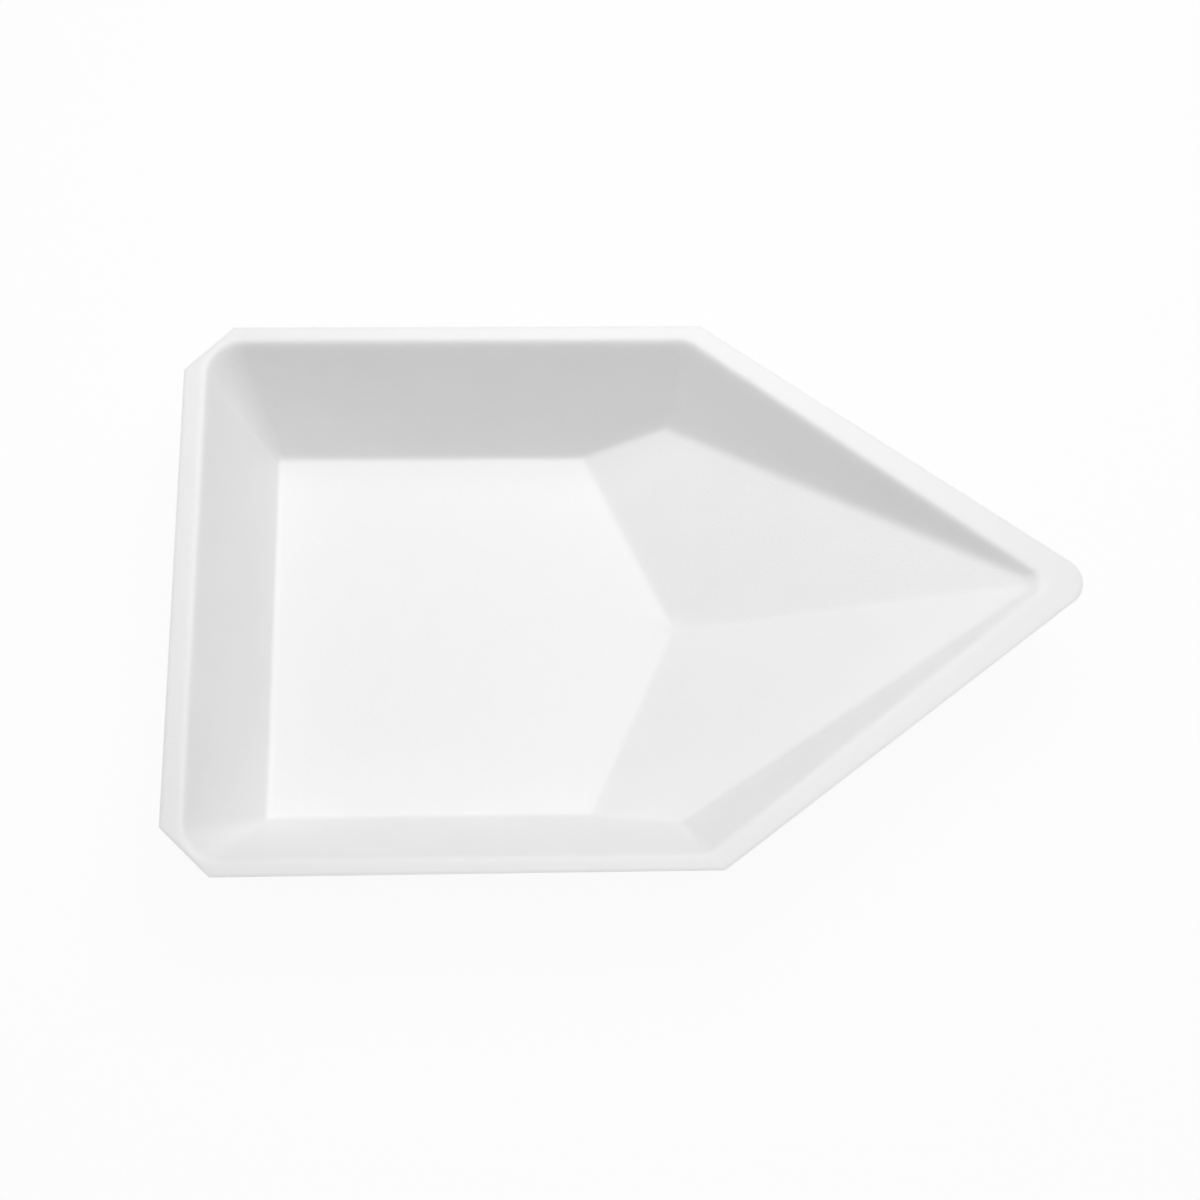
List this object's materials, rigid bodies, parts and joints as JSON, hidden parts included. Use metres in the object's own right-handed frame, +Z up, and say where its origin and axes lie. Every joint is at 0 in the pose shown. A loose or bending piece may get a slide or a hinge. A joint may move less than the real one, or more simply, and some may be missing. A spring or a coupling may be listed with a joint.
{
  "type": "weighing boat",
  "caption": "Pour-boat weighing dish formed from one thin white sheet: flat floor, leaning walls, flat flange, and two ramps that rise in a shallow valley to a pointed spout.",
  "frame": {"origin": "middle of the overall box in plan, in the plane of the floor's underside, which the boat stands on", "axes": "+X towards the pouring spout, +Z up out of the mouth, Y = 0 is the plane of symmetry"},
  "size_m": [0.135, 0.087, 0.019],
  "materials": {
    "white_polystyrene": "satin"
  },
  "bodies": {
    "root": {"weighing_boat": "white_polystyrene"}
  },
  "joints": []
}
